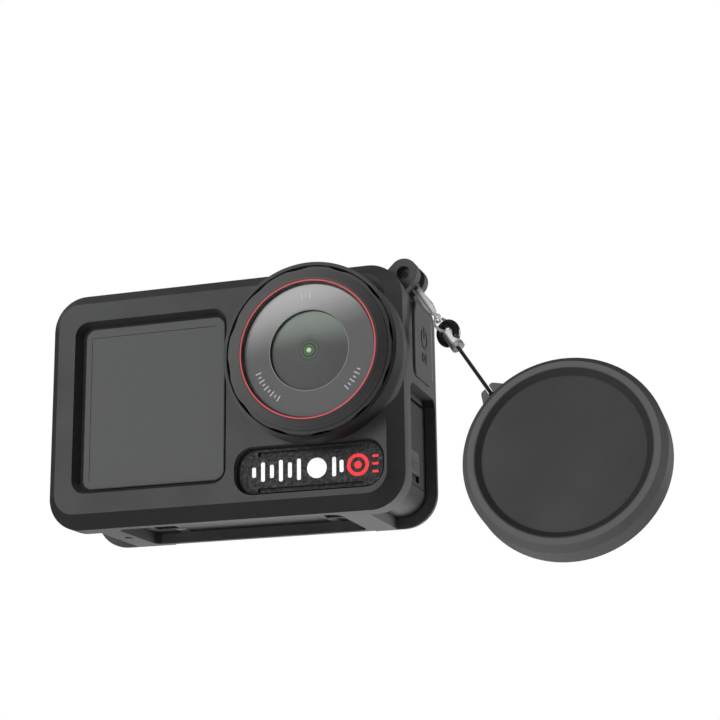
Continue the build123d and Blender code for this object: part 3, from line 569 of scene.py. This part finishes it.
def disc(radius, x, z, steps):
    """Outline of a disc, in millimetres."""
    turns = (2 * pi * k / steps for k in range(steps))
    return [(x + radius * cos(t), z + radius * sin(t)) for t in turns]


# printed ticks round the lens: groups by their middle's angle and their count, all generic
face_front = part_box("lens_face_plate")[0][1]
TICK_GROUPS = ((93, 3), (218, 9), (324, 6))
TICK_STEP, TICK_RADIUS = 4.4, 11.0  # degrees, millimetres
TICK_LONG, TICK_SHORT, TICK_THIN = 0.60, 0.34, 0.11  # half sizes
PRINT_HEIGHT = 0.03 * MM


def lens_marks(bm):
    origin = Vector((LENS.x, face_front, LENS.z))
    for centre, count in TICK_GROUPS:
        for i in range(count):
            angle = radians(centre + TICK_STEP * (i - (count - 1) / 2))
            way = X * cos(angle) + Z * sin(angle)
            side = -X * sin(angle) + Z * cos(angle)
            half = TICK_LONG if i % 2 == 0 else TICK_SHORT
            tile(bm, bar(half, TICK_THIN), origin + way * (TICK_RADIUS * MM), way, side, PRINT_HEIGHT)


piece("lens_marks", lens_marks, "mark_grey", "camera")

# generic marks on the badge plate: level bars, a disc, and a red record ring
badge_lo, badge_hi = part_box("badge_plate")
BADGE = Vector(((badge_lo[0] + badge_hi[0]) / 2, badge_lo[1], (badge_lo[2] + badge_hi[2]) / 2))
# both inks carry emission as painted light, though they are print and no lamp
MATS["white_ink"] = paint("white_ink", (0.80, 0.81, 0.82), painted_glow=0.25)
MATS["red_ink"] = paint("red_ink", (0.80, 0.045, 0.05), painted_glow=0.35)


BADGE_HEIGHT = 0.05 * MM
BADGE_LINE = -0.1  # the marks' middle line, below the plate's
BAR_HALF, BAR_ROUND = 0.40, 0.3
LEVELS = (1.0, 1.9, 1.3, 2.1, 1.5, 2.1)  # half heights of the left group of bars
LEVELS_X, LEVELS_STEP = -11.6, 1.85
DISC_X, DISC_R = 1.3, 2.0
AFTER_DISC = ((4.8, 1.9), (6.3, 1.2))  # place and half height of the two bars after the disc
RECORD_X, RECORD_IN, RECORD_OUT, RECORD_DOT = 9.6, 1.5, 2.2, 0.75
DASH_X, DASH_HALF, DASH_STEP = 13.1, (0.62, 0.24), 1.5


def badge_white(bm):
    bars = [(LEVELS_X + LEVELS_STEP * i, half) for i, half in enumerate(LEVELS)]
    for x, half in bars + list(AFTER_DISC):
        tile(bm, bar(BAR_HALF, half, x, BADGE_LINE, BAR_ROUND), BADGE, X, Z, BADGE_HEIGHT)
    tile(bm, disc(DISC_R, DISC_X, BADGE_LINE, 40), BADGE, X, Z, BADGE_HEIGHT)


def badge_red(bm):
    middle = BADGE + X * (RECORD_X * MM) + Z * (BADGE_LINE * MM)
    ring_tile(bm, middle, X, Z, RECORD_IN, RECORD_OUT, BADGE_HEIGHT)
    tile(bm, disc(RECORD_DOT, RECORD_X, BADGE_LINE, 28), BADGE, X, Z, BADGE_HEIGHT)
    for k in (-1, 0, 1):
        dash = bar(*DASH_HALF, DASH_X, BADGE_LINE + DASH_STEP * k, 0.15)
        tile(bm, dash, BADGE, X, Z, BADGE_HEIGHT)


piece("badge_marks_white", badge_white, "white_ink", "camera")
piece("badge_marks_red", badge_red, "red_ink", "camera")

# raised marks on the power pad: a standby sign, and a plain ring and bar under it
PAD = Vector((pad_hi[0], (pad_lo[1] + pad_hi[1]) / 2, pad_lo[2]))
MATS["pad_mark"] = moulded("pad_mark", 0.018, 0.5)
PAD_HEIGHT = 0.12 * MM
SIGN_UP, SIGN_IN, SIGN_OUT = 8.6, 1.65, 2.1
SIGN_START, SIGN_SWEEP = 125, 290  # degrees
LOW_UP, LOW_IN, LOW_OUT, LOW_SHIFT = 4.6, 0.55, 0.95, 0.85


def pad_marks(bm):
    sign = PAD + Z * (SIGN_UP * MM)
    ring_tile(bm, sign, Y, Z, SIGN_IN, SIGN_OUT, PAD_HEIGHT, SIGN_START, SIGN_SWEEP, 40)
    tile(bm, bar(0.22, 1.25, 0, 1.3, 0.12), sign, Y, Z, PAD_HEIGHT)
    low = PAD + Z * (LOW_UP * MM)
    ring_tile(bm, low - Y * (LOW_SHIFT * MM), Y, Z, LOW_IN, LOW_OUT, PAD_HEIGHT, steps=28)
    tile(bm, bar(0.22, 1.05, 1.05, 0, 0.12), low, Y, Z, PAD_HEIGHT)


piece("power_pad_marks", pad_marks, "pad_mark", "power_key")

# small generic marks on the base plate: a ring between two dashes, and a seam
base_lo, base_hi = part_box("base_plate")


BASE_HEIGHT = 0.02 * MM
MARKS_X, MARKS_BACK, DASH_OUT = -1.4, 4.0, 3.0
SEAM_IN, SEAM_HALF = 1.5, (0.12, 7.6)


def base_marks(bm):
    middle = (base_lo[1] + base_hi[1]) / 2
    marks = Vector((MARKS_X * MM, middle + MARKS_BACK * MM, base_lo[2]))
    for x in (-DASH_OUT, DASH_OUT):
        tile(bm, bar(1.2, 0.45, x, 0, 0.2), marks, X, -Y, BASE_HEIGHT)
    ring_tile(bm, marks, X, -Y, 0.6, 1.2, BASE_HEIGHT, steps=28)
    seam = Vector((base_lo[0] + SEAM_IN * MM, middle, base_lo[2]))
    tile(bm, bar(*SEAM_HALF), seam, X, -Y, BASE_HEIGHT)


piece("base_marks", base_marks, "pad_mark", "camera")

# fine line round the display's lit area, seen through the glass at its top and left
glass_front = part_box("front_screen_glass")[0][1]
panel_lo, panel_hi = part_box("front_display")
MATS["panel_line"] = gloss("panel_line", 0.018, 0.3)
LINE_HALF, LINE_HEIGHT = 0.055, 0.012 * MM


def panel_line(bm):
    origin = Vector((0, glass_front, 0))
    left, right = panel_lo[0] / MM, panel_hi[0] / MM
    low, high = panel_lo[2] / MM, panel_hi[2] / MM
    across = bar((right - left) / 2, LINE_HALF, (left + right) / 2, high)
    down = bar(LINE_HALF, (high - low) / 2, left, (low + high) / 2 - 2 * LINE_HALF)
    for line in (across, down):
        tile(bm, line, origin, X, Z, LINE_HEIGHT)


piece("front_panel_line", panel_line, "panel_line", "camera")

# painted highlight: a fine pale ring round the front element
MATS["rim_highlight"] = gloss("rim_highlight_ring", 0.30, 0.3)
RIM_HIGHLIGHT_IN, RIM_HIGHLIGHT_OUT = 7.95, 8.12


def rim_highlight(bm):
    origin = Vector((LENS.x, face_front - 0.02 * MM, LENS.z))
    ring_tile(bm, origin, X, Z, RIM_HIGHLIGHT_IN, RIM_HIGHLIGHT_OUT, 0.05 * MM, steps=96)


piece("lens_rim_highlight", rim_highlight, "rim_highlight", "camera")

# printed skirt that closes the gap between the face plate and the cover glass
plate_r = (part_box("lens_face_plate")[1][0] - LENS.x) / MM
cover_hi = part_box("lens_guard_glass")[1]
cover_r = (cover_hi[0] - LENS.x) / MM


def skirt(bm):
    steps, inset = 96, 0.05
    profile = [(plate_r - inset, face_front - 0.03 * MM), (cover_r - inset, cover_hi[1] + 0.06 * MM),
               (cover_r - inset, cover_hi[1] + 0.12 * MM), (plate_r - inset, face_front - 0.005 * MM)]
    rows = []
    for i in range(steps):
        angle = 2 * pi * i / steps
        way = X * cos(angle) + Z * sin(angle)
        rows.append([bm.verts.new(Vector((LENS.x, y, LENS.z)) + way * (r * MM)) for r, y in profile])
    for a, b in zip(rows, rows[1:] + rows[:1]):
        for p in range(4):
            q = (p + 1) % 4
            bm.faces.new((a[p], a[q], b[q], b[p]))


piece("lens_skirt", skirt, "lens_print", "camera")

# ---------------------------------------------------------------- stage
CAMERA_AT = Vector((0.131703, -0.333011, -0.064169))
AZIMUTH, ELEVATION, ROLL = radians(17.72), radians(-15.15), radians(-0.735)
LENS_MM = 90.09
FLOOR_Z, FLOOR_HALF, FLOOR_GLOW = -0.16, 6.0, 0.62
SKY_SEEN, SKY_LIGHT = 1.0, 0.12
# name, place, aim, size, watts, mirrored in glossy surfaces
LIGHTS = (
    ("front_soft", (-0.42, -0.88, 0.22), (0.01, 0, 0.02), (0.5, 0.5), 9.6, False),
    ("right_soft", (0.80, 0.40, 0.12), (0.03, 0, 0.02), (0.4, 0.5), 5.0, True),
    ("under_soft", (0.02, 0.16, -0.11), (0.0, 0.0, 0.0), (0.30, 0.10), 0.25, True),
)


def add_camera():
    data = bpy.data.cameras.new("photo_camera")
    data.lens = LENS_MM
    data.sensor_width = 36.0
    data.clip_start, data.clip_end = 0.01, 20.0
    obj = bpy.data.objects.new("photo_camera", data)
    look = Vector((-sin(AZIMUTH) * cos(ELEVATION), cos(AZIMUTH) * cos(ELEVATION), -sin(ELEVATION)))
    side = look.cross(Z).normalized()
    over = side.cross(look)
    side, over = side * cos(ROLL) + over * sin(ROLL), over * cos(ROLL) - side * sin(ROLL)
    turn = Matrix((side, over, -look)).transposed()
    obj.matrix_world = Matrix.Translation(CAMERA_AT) @ turn.to_4x4()
    bpy.context.scene.collection.objects.link(obj)
    bpy.context.scene.camera = obj


def add_area(name, at, aim, size, power, mirrored):
    data = bpy.data.lights.new(name, "AREA")
    data.shape = "RECTANGLE"
    data.size, data.size_y = size
    data.energy = power
    obj = bpy.data.objects.new(name, data)
    obj.location = at
    obj.visible_glossy = mirrored
    obj.rotation_euler = (Vector(aim) - Vector(at)).to_track_quat("-Z", "Y").to_euler()
    bpy.context.scene.collection.objects.link(obj)


def add_floor():
    bm = bmesh.new()
    bmesh.ops.create_grid(bm, x_segments=2, y_segments=2, size=FLOOR_HALF)
    mesh = bpy.data.meshes.new("floor")
    bm.to_mesh(mesh)
    bm.free()
    floor = bpy.data.objects.new("floor", mesh)
    floor.location.z = FLOOR_Z
    bpy.context.scene.collection.objects.link(floor)
    s = Shader("floor_pale")
    s.colour(s.ramp(s.noise(3.0), [(0.3, (0.80, 0.80, 0.80)), (0.7, (0.84, 0.84, 0.84))]))
    s.set(Roughness=0.9)
    # the floor looks pale from every side, but throws no light of its own on the object
    s.set(Emission_Color=WHITE)
    seen = s.nodes.new("ShaderNodeLightPath").outputs["Is Camera Ray"]
    s.join(s.maths("MULTIPLY", seen, FLOOR_GLOW), s.bsdf.inputs["Emission Strength"])
    mesh.materials.append(s.mat)


def add_world():
    world = bpy.data.worlds.new("studio")
    bpy.context.scene.world = world
    world.use_nodes = True
    nodes, links = world.node_tree.nodes, world.node_tree.links
    nodes.clear()
    out = nodes.new("ShaderNodeOutputWorld")
    seen, lit = nodes.new("ShaderNodeBackground"), nodes.new("ShaderNodeBackground")
    for node, strength in ((seen, SKY_SEEN), (lit, SKY_LIGHT)):
        node.inputs["Color"].default_value = WHITE
        node.inputs["Strength"].default_value = strength
    path, mix = nodes.new("ShaderNodeLightPath"), nodes.new("ShaderNodeMixShader")
    links.new(path.outputs["Is Camera Ray"], mix.inputs["Fac"])
    links.new(lit.outputs[0], mix.inputs[1])
    links.new(seen.outputs[0], mix.inputs[2])
    links.new(mix.outputs[0], out.inputs["Surface"])


add_camera()
add_world()
add_floor()
for light in LIGHTS:
    add_area(*light)
bpy.context.scene.view_settings.view_transform = "Standard"
